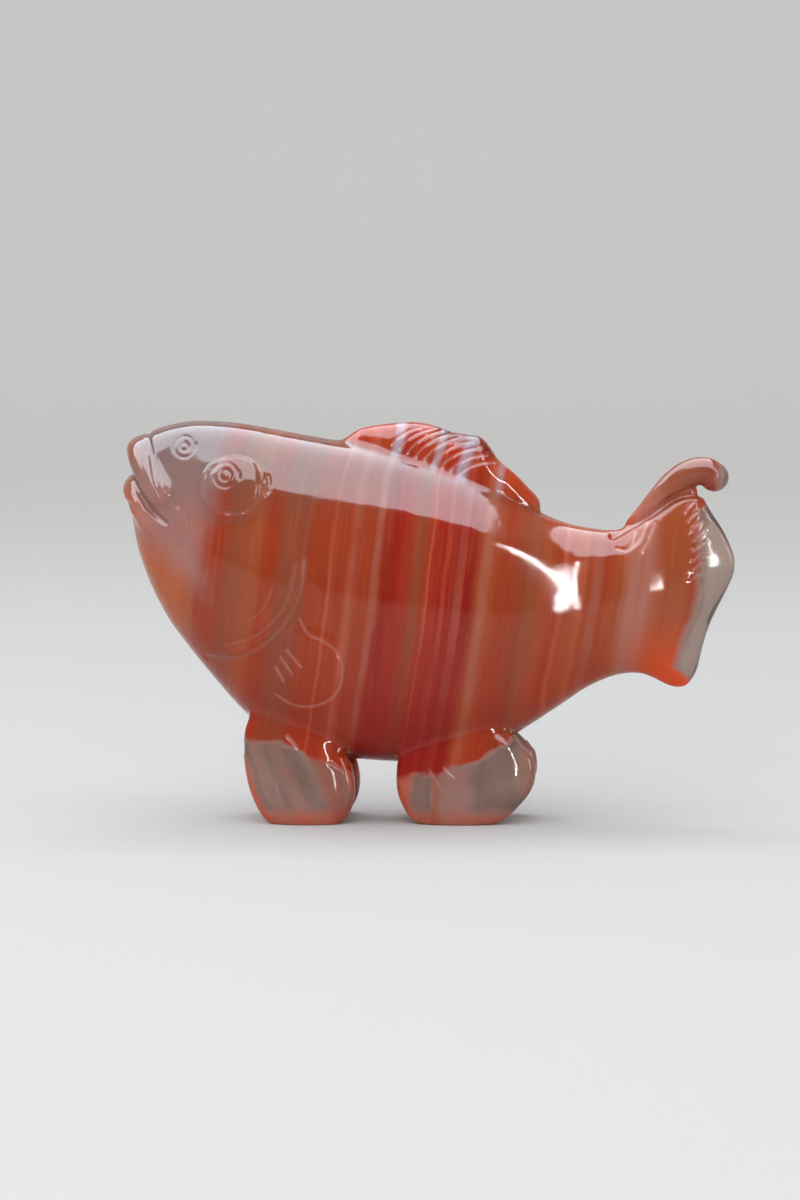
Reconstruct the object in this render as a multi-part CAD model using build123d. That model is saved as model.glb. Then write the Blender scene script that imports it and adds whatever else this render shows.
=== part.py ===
"""A small carved stone fish that stands on its paired fins, modelled in millimetres.

The real figurine is one polished stone. Its carved forms are kept here as separate solids
that meet face to face: the body with its head, the dorsal fin, the tail fan and its rolled
upper lobe, the two pelvic and two anal fins that serve as feet, and the lips, eyes, gill
covers and pectoral fins that stand out of the body in low relief.

The fish is drawn with x running back from the snout, y across and z up from the soles.
It is shifted at the end so that the origin is below the middle of its length, on the floor.
The head points to -X, and the side that the photograph shows faces -Y.
"""

from build123d import *
import math
import os

# Body, from the snout to the joint with the tail
body_length = 47.3
body_height = 33.5
body_thickness = 16.0
belly_clearance = 5.7
section_fullness_share = 0.64

# Share of the length, back and belly as shares of the height above the belly's lowest
# point, and half width as a share of half the thickness
body_section_shares = [
    (0.000, 0.870, 0.754, 0.16),
    (0.005, 0.915, 0.690, 0.27),
    (0.014, 0.943, 0.625, 0.38),
    (0.028, 0.962, 0.560, 0.47),
    (0.048, 0.974, 0.492, 0.56),
    (0.078, 0.988, 0.414, 0.66),
    (0.115, 0.998, 0.343, 0.74),
    (0.160, 1.000, 0.264, 0.82),
    (0.215, 0.995, 0.175, 0.89),
    (0.275, 0.982, 0.094, 0.94),
    (0.350, 0.962, 0.040, 0.98),
    (0.430, 0.943, 0.014, 1.00),
    (0.520, 0.920, 0.002, 0.99),
    (0.610, 0.886, 0.000, 0.95),
    (0.700, 0.840, 0.018, 0.87),
    (0.785, 0.782, 0.070, 0.763),
    (0.860, 0.728, 0.136, 0.652),
    (0.930, 0.694, 0.204, 0.527),
    (0.965, 0.687, 0.232, 0.472),
    (1.000, 0.684, 0.252, 0.442),
]

# Tail fan, from the joint to its thin rim
tail_length = 11.9
tail_height = 19.4
tail_foot_share = 0.2155

# Share of the tail's length, top and bottom as shares of its height above its lowest tip,
# and half width as a share of half the body's thickness
tail_section_shares = [
    (0.110, 0.836, 0.078, 0.415),
    (0.230, 0.880, 0.079, 0.378),
    (0.340, 0.930, 0.052, 0.335),
    (0.440, 0.972, 0.018, 0.295),
    (0.530, 1.010, 0.000, 0.265),
    (0.610, 1.028, 0.006, 0.245),
    (0.670, 1.025, 0.055, 0.228),
    (0.730, 0.985, 0.185, 0.210),
    (0.810, 0.898, 0.345, 0.180),
    (0.905, 0.808, 0.465, 0.144),
    (0.970, 0.724, 0.550, 0.110),
    (1.000, 0.670, 0.606, 0.075),
]

# Rolled edge along the tail's upper lobe: share of the tail's length, height of the
# centreline as a share of the tail's height, and radius as a share of the tip ball's radius
lobe_tip_radius = 1.45
lobe_section_shares = [
    (0.050, 0.765, 0.14),
    (0.240, 0.880, 0.60),
    (0.420, 1.000, 0.80),
    (0.570, 1.075, 0.92),
    (0.710, 1.105, 0.96),
    (0.830, 1.075, 0.95),
]

# Dorsal fin: share of the body's length, rise above the back as a share of the fin's
# height, and half width as a share of half the fin's thickness
dorsal_height = 4.3
dorsal_thickness = 4.4
dorsal_root_depth = 3.6
dorsal_section_shares = [
    (0.425, -0.20, 0.40),
    (0.455, 0.20, 0.62),
    (0.500, 0.47, 0.82),
    (0.560, 0.71, 0.96),
    (0.612, 0.84, 1.00),
    (0.665, 0.87, 1.00),
    (0.710, 0.98, 0.97),
    (0.735, 0.99, 0.93),
    (0.757, 0.78, 0.88),
    (0.785, 0.62, 0.80),
    (0.812, 0.50, 0.72),
    (0.832, 0.38, 0.66),
    (0.850, 0.20, 0.60),
]

# Pelvic fins, the front pair of feet: share of the fin's height above the sole, front and
# back edges as shares of its length, and half width as a share of half its thickness. The
# offsets place the fin's middle out from the fish's, as shares of half the body's thickness
pelvic_start = 11.2
pelvic_length = 11.3
pelvic_height = 11.6
pelvic_thickness = 4.6
pelvic_section_shares = [
    (0.000, 0.245, 0.850, 0.74),
    (0.060, 0.175, 0.915, 0.86),
    (0.170, 0.110, 0.965, 0.96),
    (0.330, 0.050, 0.980, 1.00),
    (0.500, 0.018, 0.940, 0.96),
    (0.690, 0.000, 0.850, 0.84),
    (0.860, 0.030, 0.720, 0.68),
    (1.000, 0.080, 0.560, 0.52),
]
pelvic_sole_offset_share = 0.54
pelvic_root_offset_share = 0.46

# Anal fins, the rear pair of feet, in the same shares
anal_start = 26.3
anal_length = 13.6
anal_height = 9.8
anal_thickness = 4.2
anal_section_shares = [
    (0.000, 0.160, 0.700, 0.74),
    (0.070, 0.090, 0.800, 0.86),
    (0.200, 0.035, 0.895, 0.96),
    (0.370, 0.000, 0.980, 1.00),
    (0.550, 0.000, 1.000, 0.96),
    (0.730, 0.020, 0.960, 0.84),
    (0.880, 0.080, 0.860, 0.68),
    (1.000, 0.160, 0.720, 0.52),
]
anal_sole_offset_share = 0.49
anal_root_offset_share = 0.425

# Eyes, each a low dome inside a raised rim, with two rings round a pupil that looks up and forward
eye_radius = 3.2
eye_proud = 0.8
eye_rise = 0.2
eye_depth = 1.6
eye_rim_width = 0.45
eye_rim_groove_radius = 0.22
pupil_ring_radii = (1.1, 0.55)
pupil_groove_radius = 0.14
pupil_forward = 0.9
pupil_upward = 0.85
eye_place_shares = (0.225, 0.815)

# Nostrils, each two rings cut into the head
nostril_ring_radii = (1.15, 0.55)
nostril_groove_radius = 0.18
nostril_place_shares = (0.118, 0.932)

# Lips, each a roll round the front of the snout: share of the body's length, height as a
# share of the body's height, and width as a share of half the body's thickness
upper_lip_radius = 1.35
upper_lip_shares = [(0.070, 0.790, 0.60), (0.037, 0.862, 0.43), (0.018, 0.917, 0.0)]
lower_lip_radius = 1.15
lower_lip_shares = [(0.053, 0.698, 0.53), (0.024, 0.757, 0.41), (0.005, 0.803, 0.0)]

# Gill covers and pectoral fins, raised plates that follow the flank. Each outline point is
# a share of the body's length and of its height above the belly
gill_relief = 0.35
gill_outline_shares = [
    (0.150, 0.700),
    (0.245, 0.690),
    (0.345, 0.660),
    (0.382, 0.585),
    (0.362, 0.470),
    (0.316, 0.380),
    (0.250, 0.330),
    (0.178, 0.338),
    (0.128, 0.400),
    (0.110, 0.490),
    (0.118, 0.610),
]
pectoral_relief = 0.28
pectoral_outline_shares = [
    (0.359, 0.411),
    (0.407, 0.384),
    (0.446, 0.340),
    (0.452, 0.270),
    (0.427, 0.208),
    (0.380, 0.176),
    (0.332, 0.185),
    (0.303, 0.235),
    (0.313, 0.314),
]

# One length that carries every cutting tool clear of what it cuts
overrun = 5.0


def between(low, high, share):
    """A point between two values."""
    return low + (high - low) * share


def height_above_belly(share):
    """A level on the body."""
    return belly_clearance + share * body_height


def back_height(share_of_length):
    """The back's height above the soles at a share of the body's length."""
    for first, second in zip(body_section_shares, body_section_shares[1:]):
        if share_of_length <= second[0]:
            along = (share_of_length - first[0]) / (second[0] - first[0])
            return height_above_belly(between(first[1], second[1], along))
    return height_above_belly(body_section_shares[-1][1])


def tail_height_at(share):
    """A level on the tail, above its lowest tip."""
    return height_above_belly(tail_foot_share) + share * tail_height


def near_section(place, low, high, half_width):
    """The near half of an outline across the fish, fuller than an ellipse, shut by a line."""
    middle = between(low, high, 0.5)
    ends = []
    for level in (high, low):
        crown = (place, -section_fullness_share * half_width, level)
        flank = (place, -half_width, between(middle, level, section_fullness_share))
        ends.append(((place, 0, level), crown, flank, (place, -half_width, middle)))
    upper, lower = ends
    return Wire([Bezier(*upper), Bezier(*reversed(lower)), Line(lower[0], upper[0])])


def near_fish(relief=0):
    """The near half of body and tail fan in one smooth loft, grown sideways by the relief."""
    sections = []
    for along, back, belly, girth in body_section_shares:
        sections.append(
            near_section(
                along * body_length,
                height_above_belly(belly),
                height_above_belly(back),
                girth * body_thickness / 2 + relief,
            )
        )
    for along, top, bottom, girth in tail_section_shares:
        sections.append(
            near_section(
                body_length + along * tail_length,
                tail_height_at(bottom),
                tail_height_at(top),
                girth * body_thickness / 2 + relief,
            )
        )
    return Solid.make_loft(sections)


def near_slab(start, end):
    """A block over the near half of the fish between two places along it."""
    tall = 2 * (belly_clearance + body_height + tail_height)
    wide = body_thickness / 2 + overrun
    return Pos(between(start, end, 0.5), -wide / 2, 0) * Box(end - start, wide, tall)


def flank_point(share_of_length, share_of_height, solid):
    """The point and outward normal of the near flank at a place on the body."""
    through = Axis(
        (share_of_length * body_length, -body_thickness, height_above_belly(share_of_height)),
        (0, 1, 0),
    )
    hits = solid.shell().find_intersection_points(through)
    point, normal = min(hits, key=lambda hit: hit[0].Y)
    if normal.Y > 0:
        normal = -normal
    return point, normal


def near_dorsal_fin():
    """The near half of the fin along the back, before the body is cut from it."""
    sections = []
    for along, rise, girth in dorsal_section_shares:
        back = back_height(along)
        sections.append(
            near_section(
                along * body_length,
                back - dorsal_root_depth,
                back + rise * dorsal_height,
                girth * dorsal_thickness / 2,
            )
        )
    return Solid.make_loft(sections)


def upper_lobe():
    """The rolled edge of the tail's upper lobe, with a ball at its tip."""
    centres = [
        Vector(body_length + along * tail_length, 0, tail_height_at(level))
        for along, level, _ in lobe_section_shares
    ]
    spine = Spline(*centres)
    circles = []
    for centre, (_, _, girth) in zip(centres, lobe_section_shares):
        across = Plane(centre, z_dir=spine.tangent_at(centre))
        circles.append((across * Circle(girth * lobe_tip_radius)).wire())
    roll = Solid.make_loft(circles)
    tip = Pos(*centres[-1]) * Sphere(lobe_tip_radius)
    return roll + tip


def foot_fin(start, length, height, thickness, shares, sole_offset_share, root_offset_share):
    """One near-side fin that reaches from the floor up into the belly."""
    sections = []
    for level, front, back, girth in shares:
        centre = Vector(
            start + between(front, back, 0.5) * length,
            -between(sole_offset_share, root_offset_share, level) * body_thickness / 2,
            level * height,
        )
        outline = Ellipse((back - front) * length / 2, girth * thickness / 2)
        sections.append((Plane(centre) * outline).wire())
    return Solid.make_loft(sections)


def seat_on_flank(place_shares, body):
    """A plane on the near flank, with its first axis running back and its second one up."""
    point, normal = flank_point(*place_shares, body)
    return Plane(point, x_dir=Vector(0, 0, 1).cross(normal), z_dir=normal)


def eye(body):
    """One near-side eye: a low dome with a groove inside its rim and rings round its pupil."""
    dome_height = eye_proud - eye_rise
    ball_radius = (eye_radius**2 + dome_height**2) / (2 * dome_height)
    ball_centre = eye_proud - ball_radius
    dome = Pos(0, 0, ball_centre) * Sphere(ball_radius)
    post = Pos(0, 0, (eye_proud - eye_depth) / 2) * Cylinder(eye_radius, eye_proud + eye_depth)
    rim_turn = math.asin((eye_radius - eye_rim_width) / ball_radius)
    rings = Pos(0, 0, ball_centre + ball_radius * math.cos(rim_turn)) * Torus(
        ball_radius * math.sin(rim_turn), eye_rim_groove_radius
    )
    gaze = Vector(-pupil_forward, pupil_upward, 0)
    tilt = math.asin(gaze.length / ball_radius)
    gaze_plane = Plane((0, 0, ball_centre), z_dir=gaze + Vector(0, 0, ball_radius * math.cos(tilt)))
    for radius in pupil_ring_radii:
        level = math.sqrt(ball_radius**2 - radius**2)
        rings += gaze_plane * (Pos(0, 0, level) * Torus(radius, pupil_groove_radius))
    return seat_on_flank(eye_place_shares, body) * ((dome & post) - rings)


def nostril_grooves(body):
    """The rings that are cut into the near side of the head."""
    seat = seat_on_flank(nostril_place_shares, body)
    return [seat * Torus(radius, nostril_groove_radius) for radius in nostril_ring_radii]


def lip(shares, radius):
    """A roll round the snout, from cheek to cheek, with round ends."""
    near_side = [
        Vector(along * body_length, -width * body_thickness / 2, height_above_belly(level))
        for along, level, width in shares
    ]
    far_side = [Vector(p.X, -p.Y, p.Z) for p in reversed(near_side[:-1])]
    path = Spline(*near_side, *far_side)
    start = Plane(path @ 0, z_dir=path % 0)
    roll = sweep(start * Circle(radius), path)
    for end in (path @ 0, path @ 1):
        roll += Pos(*end) * Sphere(radius)
    return roll


def plate_outline(shares):
    """A near-side block with a smooth closed outline seen from the side."""
    points = [
        (along * body_length, height_above_belly(level)) for along, level in shares
    ]
    outline = make_face(Plane.XZ * Spline(*points, periodic=True))
    return extrude(outline, body_thickness, dir=(0, -1, 0))


def raised_plate(shares, relief, body):
    """A near-side plate of even relief that follows the flank."""
    return (near_fish(relief) & plate_outline(shares)) - body


def solid_of(shape):
    """The largest solid of a shape, without the crumbs that a cut can leave."""
    return max(shape.solids(), key=lambda solid: solid.volume)


def far_side_of(shape):
    """The same form on the other side of the fish."""
    return mirror(shape, about=Plane.XZ)


def both_sides(near_side):
    """One solid made of a near half and its mirror image."""
    half = solid_of(near_side)
    return solid_of(half + far_side_of(half))


fish = near_fish()
far_fish = far_side_of(fish)
tail_end = body_length + tail_length + overrun
near_body = (fish & near_slab(-overrun, body_length)) - nostril_grooves(fish)
near_tail = fish & near_slab(body_length, tail_end)
lobe = upper_lobe()
upper_lip = lip(upper_lip_shares, upper_lip_radius)
lower_lip = lip(lower_lip_shares, lower_lip_radius)

nodes = {
    "body": both_sides(near_body),
    "tail_fan": both_sides(near_tail - lobe),
    "tail_upper_lobe": solid_of(lobe),
    "dorsal_fin": both_sides(near_dorsal_fin() - fish),
    "upper_lip": solid_of(upper_lip - fish - far_fish),
    "lower_lip": solid_of(lower_lip - fish - far_fish),
}

pelvic_fin = foot_fin(
    pelvic_start,
    pelvic_length,
    pelvic_height,
    pelvic_thickness,
    pelvic_section_shares,
    pelvic_sole_offset_share,
    pelvic_root_offset_share,
)
anal_fin = foot_fin(
    anal_start,
    anal_length,
    anal_height,
    anal_thickness,
    anal_section_shares,
    anal_sole_offset_share,
    anal_root_offset_share,
)
gill_cover = raised_plate(gill_outline_shares, gill_relief, fish)
pectoral_fin = raised_plate(pectoral_outline_shares, pectoral_relief, fish) - gill_cover
near_side_nodes = {
    "pelvic_fin": pelvic_fin - fish,
    "anal_fin": anal_fin - fish,
    "eye": eye(fish) - fish,
    "gill_cover": gill_cover,
    "pectoral_fin": pectoral_fin,
}
for name, shape in near_side_nodes.items():
    nodes[name + "_left"] = solid_of(shape)
    nodes[name + "_right"] = far_side_of(solid_of(shape))

low = min(solid.bounding_box().min.X for solid in nodes.values())
high = max(solid.bounding_box().max.X for solid in nodes.values())
to_middle = Pos(-between(low, high, 0.5), 0, 0)

os.makedirs("parts", exist_ok=True)
for name, solid in nodes.items():
    solid = to_middle * solid
    solid.label = name
    export_step(solid, f"parts/{name}.step")
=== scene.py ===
"""A polished agate fish, carved, engraved and finished around its measured solids.

The real figurine is one stone, so all the solids are melted into one skin here, which is then
engraved along smooth lines and polished. Lengths of the fish are written in millimetres and
turned into metres with MM.

The head points to -X and the flank that the camera sees faces -Y. Every engraved line is drawn
in the fish's middle plane, as (x, z), and is cut into both flanks.
"""

import math
from collections import namedtuple

import bpy
from mathutils import Matrix, Vector


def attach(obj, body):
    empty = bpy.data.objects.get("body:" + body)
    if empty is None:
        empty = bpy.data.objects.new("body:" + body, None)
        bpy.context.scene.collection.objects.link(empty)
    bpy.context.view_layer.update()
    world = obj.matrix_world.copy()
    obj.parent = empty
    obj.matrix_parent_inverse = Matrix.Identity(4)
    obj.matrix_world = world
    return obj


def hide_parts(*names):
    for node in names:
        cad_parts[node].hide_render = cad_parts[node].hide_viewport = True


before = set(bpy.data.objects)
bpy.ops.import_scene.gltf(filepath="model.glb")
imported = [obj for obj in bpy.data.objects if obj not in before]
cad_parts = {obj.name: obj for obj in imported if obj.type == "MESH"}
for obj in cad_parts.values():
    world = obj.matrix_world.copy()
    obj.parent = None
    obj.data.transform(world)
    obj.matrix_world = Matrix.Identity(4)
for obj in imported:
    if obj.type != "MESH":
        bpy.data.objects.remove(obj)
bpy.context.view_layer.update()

bl_info = {
    "name": "Carved Agate Fish",
    "version": (1, 0, 0),
    "blender": (4, 5, 0),
    "location": "3D View > Sidebar > Agate Fish",
    "description": "Carves, engraves and polishes a small agate fish around its measured solids",
    "category": "Object",
}

MM = 0.001

# The stone's skin is thinned to this many triangles
MOST_TRIANGLES = 195000

# Corners of the solids that lie this close, in millimetres, become one
WELD_GAP = 0.002

# An engraved ring is drawn through this many points
RING_POINTS = 12


def ring(centre, radius):
    """The route of a ring."""
    x, z = centre
    turns = [2 * math.pi * step / RING_POINTS for step in range(RING_POINTS)]
    route = [(x + radius * math.cos(turn), z + radius * math.sin(turn)) for turn in turns]
    return route + route[:1]


# Lines that are engraved in the flanks, each a route of (x, z) in millimetres
GILL_LINES = [
    [(-12.3, 25.6), (-13.0, 22.6), (-14.4, 20.2), (-16.6, 18.5), (-19.4, 17.6)],
    [(-14.6, 23.4), (-15.6, 21.2), (-17.2, 19.9)],
]
GILL_EDGE = [
    [(-11.4, 25.9), (-11.9, 23.0), (-13.2, 20.2), (-15.4, 17.9), (-18.6, 16.3), (-21.4, 16.2)],
]
MOUTH_LINES = [
    [(-30.0, 34.9), (-28.8, 33.8), (-28.0, 32.5), (-26.7, 30.7), (-25.3, 29.5)],
]
CHEEK_LINES = [
    [(-27.7, 39.6), (-27.3, 37.7), (-26.7, 35.7), (-26.2, 33.7), (-25.5, 31.8), (-24.7, 30.2),
     (-24.6, 29.2)],
    [(-25.8, 28.2), (-24.4, 27.1), (-23.4, 27.6), (-23.1, 29.2), (-23.5, 30.6), (-24.3, 31.5)],
    [(-29.2, 31.3), (-28.2, 30.5), (-27.0, 29.7), (-25.8, 28.2)],
]
PECTORAL_LINES = [
    [(-12.0, 20.3), (-11.2, 18.9), (-9.6, 18.1), (-8.2, 16.8), (-7.9, 15.0), (-8.6, 13.0),
     (-10.2, 11.9), (-12.6, 11.8), (-14.6, 12.9)],
]
PECTORAL_STROKES = [
    [(-13.3, 17.3), (-11.9, 15.6)],
    [(-13.9, 16.6), (-12.8, 14.9)],
    [(-14.4, 15.6), (-13.7, 14.2)],
]
EYE_LINES = [ring((-18.4, 33.3), 2.75)]
PUPIL_LINES = [ring((-19.3, 34.2), 1.15), ring((-19.3, 34.2), 0.5)]
NOSTRIL_LINES = [ring((-23.5, 36.8), 1.0), ring((-23.5, 36.8), 0.35)]
TAIL_STROKES = [
    [(18.6, 26.9), (19.6, 26.8), (20.4, 28.6)],
    [(19.9, 27.0), (20.7, 27.7), (21.5, 29.4)],
    [(21.0, 26.6), (21.6, 27.6), (22.3, 29.4)],
]
ROLL_LINE = [[(18.2, 28.1), (21.9, 30.2), (24.6, 31.9), (26.8, 32.2)]]
DORSAL_ROOT = [[(-3.4, 37.0), (-0.6, 35.6), (3.0, 34.0)]]
DORSAL_TIPS = [[(-0.6, 38.6), (2.6, 38.0), (4.8, 37.0), (6.6, 35.2)]]
NOTCH_ROOT = [[(25.2, 30.4), (26.0, 28.2), (26.1, 25.6), (25.9, 23.8)]]
NOTCH_TIPS = [[(26.0, 31.4), (27.0, 29.2), (27.2, 26.6), (26.9, 24.6)]]
FOOT_STROKES = [
    [(-13.4, 8.8), (-12.4, 7.6)],
    [(-9.2, 6.0), (-8.0, 5.2)],
    [(0.5, 5.3), (1.4, 4.0)],
    [(1.9, 5.7), (2.9, 4.9)],
    [(9.0, 8.3), (9.6, 7.6)],
]

# How each set of lines is engraved: its half width as a share of the line width, the setting
# that its depth is a share of, that share, and how frosted its floor is
ENGRAVINGS = [
    ("gill_edge", GILL_EDGE, 1.2, "line_depth", 0.8, 0.12),
    ("gill_lines", GILL_LINES, 1.0, "line_depth", 0.6, 0.12),
    ("mouth_lines", MOUTH_LINES, 1.3, "mouth_depth", 1.0, 0.0),
    ("cheek_lines", CHEEK_LINES, 1.2, "line_depth", 0.85, 0.1),
    ("pectoral_lines", PECTORAL_LINES, 0.75, "line_depth", 0.45, 0.25),
    ("eye_lines", EYE_LINES, 1.0, "line_depth", 0.6, 0.08),
    ("pupil_lines", PUPIL_LINES, 0.7, "line_depth", 0.33, 0.08),
    ("nostril_lines", NOSTRIL_LINES, 0.6, "line_depth", 0.45, 0.1),
    ("strokes", PECTORAL_STROKES + FOOT_STROKES, 0.7, "line_depth", 0.7, 0.35),
    ("tail_strokes", TAIL_STROKES, 0.7, "line_depth", 0.7, 0.7),
    ("roll_line", ROLL_LINE, 1.6, "line_depth", 1.6, 0.0),
]

# The frost on a groove's floor ends at this share of the groove's half width
FROST_SHARE = 0.7

# The fans of rays: root and tip line, the setting that holds their number, and their bend.
# Their floors are frosted alike.
RAY_FANS = [
    ("dorsal", DORSAL_ROOT, DORSAL_TIPS, "dorsal_rays", 0.22),
    ("tail", NOTCH_ROOT, NOTCH_TIPS, "tail_notches", 0.1),
]
RAY_FROST = 0.45

# Boxes of (x low, x high, z low, z high) in which carved edges are rubbed down, and how often.
# The rubbing fades out over the margin inside each box.
SOFT_MARGIN = 1.0
SOFT_PLACES = [
    (-28.5, -9.5, 20.5, 30.2, 90),
    (-28.5, -19.0, 12.0, 22.0, 90),
    (-20.0, 12.5, 6.5, 12.0, 60),
    (-17.0, -5.5, 9.5, 21.5, 60),
    (-23.5, -13.5, 28.5, 38.5, 12),
    (-31.5, -23.5, 26.5, 39.5, 40),
    (14.0, 26.5, 12.0, 29.0, 60),
    (-10.0, 2.5, 34.6, 38.4, 40),
    (-1.0, 8.0, 31.6, 36.2, 40),
]

# Place of each broad band across the flank, in millimetres from the middle, and its colour
BROAD_BANDS = [
    (-30.0, "peach"),
    (-24.2, "peach"),
    (-23.0, "tan"),
    (-22.3, "rust"),
    (-20.6, "rust"),
    (-19.8, "brown"),
    (-17.3, "tan"),
    (-16.3, "rust"),
    (-15.3, "rust"),
    (-14.6, "brown"),
    (-12.4, "brown"),
    (-11.7, "rust"),
    (-5.3, "rust"),
    (-4.4, "deep_red"),
    (-2.7, "red"),
    (-1.4, "brown"),
    (-0.8, "rust"),
    (0.0, "red"),
    (3.8, "deep_red"),
    (4.9, "tan"),
    (7.3, "rust"),
    (9.6, "brown"),
    (11.0, "tan"),
    (12.0, "rust"),
    (14.2, "tan"),
    (16.4, "rust"),
    (18.2, "tan"),
    (19.2, "milk"),
    (20.8, "milk"),
    (22.0, "tan"),
    (24.4, "tan"),
    (26.0, "rust"),
]

# A thin line keeps its full strength over this share of its half width
LINE_CORE = 0.2

# Middle, half width and strength of each thin milky line
PALE_LINES = [
    (-23.0, 0.7, 0.25),
    (-7.5, 0.6, 0.3),
    (-5.4, 0.55, 0.65),
    (2.6, 0.4, 0.3),
    (5.2, 0.8, 0.55),
    (9.7, 0.7, 0.2),
    (16.0, 0.8, 0.5),
]

# The same for the thin red ones
BLUSH_LINES = [
    (-9.7, 0.25, 0.4),
    (-7.9, 0.5, 0.25),
    (-0.3, 0.22, 0.4),
    (1.3, 0.35, 0.25),
    (3.0, 0.3, 0.3),
    (12.8, 0.4, 0.4),
    (14.6, 0.5, 0.25),
]

# The same for the pale blue ones, which only show in the back fin
FIN_LINES = [
    (-5.4, 0.8, 0.7),
    (-1.1, 0.6, 0.55),
    (1.7, 0.9, 0.7),
    (5.6, 0.6, 0.35),
]

# The red of the body ends at this height over each place along the fish, as (x, z)
FOOT_LINE = [
    (-20.0, 8.2),
    (-14.0, 8.2),
    (-7.6, 5.1),
    (-2.9, 4.6),
    (1.2, 5.3),
    (5.0, 6.3),
    (9.0, 8.6),
    (12.0, 9.5),
]

# Streaks of the clear feet: middle, half width, strength and colour. The orange rows at -17.4,
# -6.9 and -2.4 run along the feet's edges and are painted glow of light through the thin stone;
# the other rows are the stone's own streaks
FOOT_STREAKS = [
    (-17.4, 1.4, 0.85, "orange"),
    (-15.2, 1.3, 0.4, "milk"),
    (-13.2, 1.3, 0.2, "orange"),
    (-6.9, 1.1, 0.7, "orange"),
    (-9.0, 2.4, 0.7, "rust"),
    (-2.4, 1.8, 0.85, "orange"),
    (-0.3, 1.0, 0.35, "tan"),
    (1.1, 0.8, 0.75, "rust"),
    (2.9, 2.8, 0.65, "milk"),
    (10.6, 2.4, 0.5, "tan"),
]

# How much of its clearness the stone loses in a full streak
CLOUDING = 0.8

# The tail is clear beyond this place at each height, as (z, x)
CLEAR_LINE = [
    (10.0, 32.0),
    (13.2, 26.4),
    (15.3, 24.1),
    (18.1, 24.8),
    (20.4, 25.9),
    (23.3, 26.5),
    (26.9, 26.5),
    (30.6, 26.6),
    (31.6, 28.2),
    (38.0, 28.6),
]

# Soft masks over the stone: where each starts and where it is full, in millimetres
SLOPES = {
    "crest": (33.5, 38.0),
    "belly": (22.0, 7.0),
    "belly_middle": (6.5, 3.0),
    "head": (-18.6, -21.6),
    "crown": (0.8, 5.8),
    "snout": (-29.2, -27.2),
    # The brow and back masks place painted shade under the overhead lamp; the tail masks and the
    # sole mask place painted glow
    "brow": (34.5, 37.5),
    "back": (29.0, 35.0),
    "fin_root": (34.2, 35.0),
    "fin_start": (-10.0, -8.5),
    "fin_end": (11.6, 10.6),
    "fin_top": (37.2, 39.0),
    "fin_rear": (0.0, 2.0),
    "rear": (8.0, 4.0),
    "rear_low": (29.0, 23.0),
    "tail": (18.0, 23.0),
    "tail_low": (21.0, 14.0),
    "clear_tail": (-0.5, 0.9),
    "front_feet": (-4.0, -6.0),
    "foot": (-0.3, 0.5),
    "sole_glow": (2.2, 0.4),
}

# The bands' places hold at this height. They lean by so much for each millimetre above it,
# less so the higher they are, and shift towards the tail in the crest of the back.
BAND_HEIGHT = 19.6
BAND_LEAN = 0.148
BAND_BEND = -0.0018
CREST_SHIFT = 0.7

# Fine threads run along the bands, and change along them at this share of the rate across
THREAD_SHARE = 0.05

# Middles of the red belly, across the bands, and of the orange flank behind it
BELLY_MIDDLE = -0.6
REAR_MIDDLE = 11.0

# How masks slant: the crown's and the back fin's fall towards the tail, and the streaks of the
# front feet lean about a height
CROWN_SLANT = 0.9
FIN_SLANT = 0.35
STREAK_SLANT = 0.42
STREAK_HEIGHT = 4.0

# The milky head's edge on the flank wanders within this width, in millimetres
HEAD_CLOUD = 4.0

# Shades that the colour is multiplied with in places; the brow's and the back's are painted shade
# under the overhead lamp
BELLY_SHADE = (1.0, 0.6, 0.4, 1)
BROW_PAINTED_SHADE = (0.4, 0.45, 0.55, 1)
BACK_PAINTED_SHADE = (0.72, 0.95, 1.0, 1)
REAR_SHADE = (1.0, 0.82, 0.55, 1)

# How much light the clearest stone lets through
CLEARNESS = 0.85

# Largest number of millimetres that a profile can hold
PROFILE_TOP = 40.0

# The middle of the picture, in millimetres
PICTURE_MIDDLE = (-2.7, 0.0, 21.6)

# The paper under and behind the fish, in metres
PAPER_WIDTH = 6.0
PAPER_FRONT = -3.0
PAPER_BACK = 0.75
PAPER_BEND = 0.35
PAPER_TOP = 2.4
PAPER_COLOUR = (0.48, 0.475, 0.47, 1)

# Strength of the even light that fills the room
ROOM_LIGHT = 0.34

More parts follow.
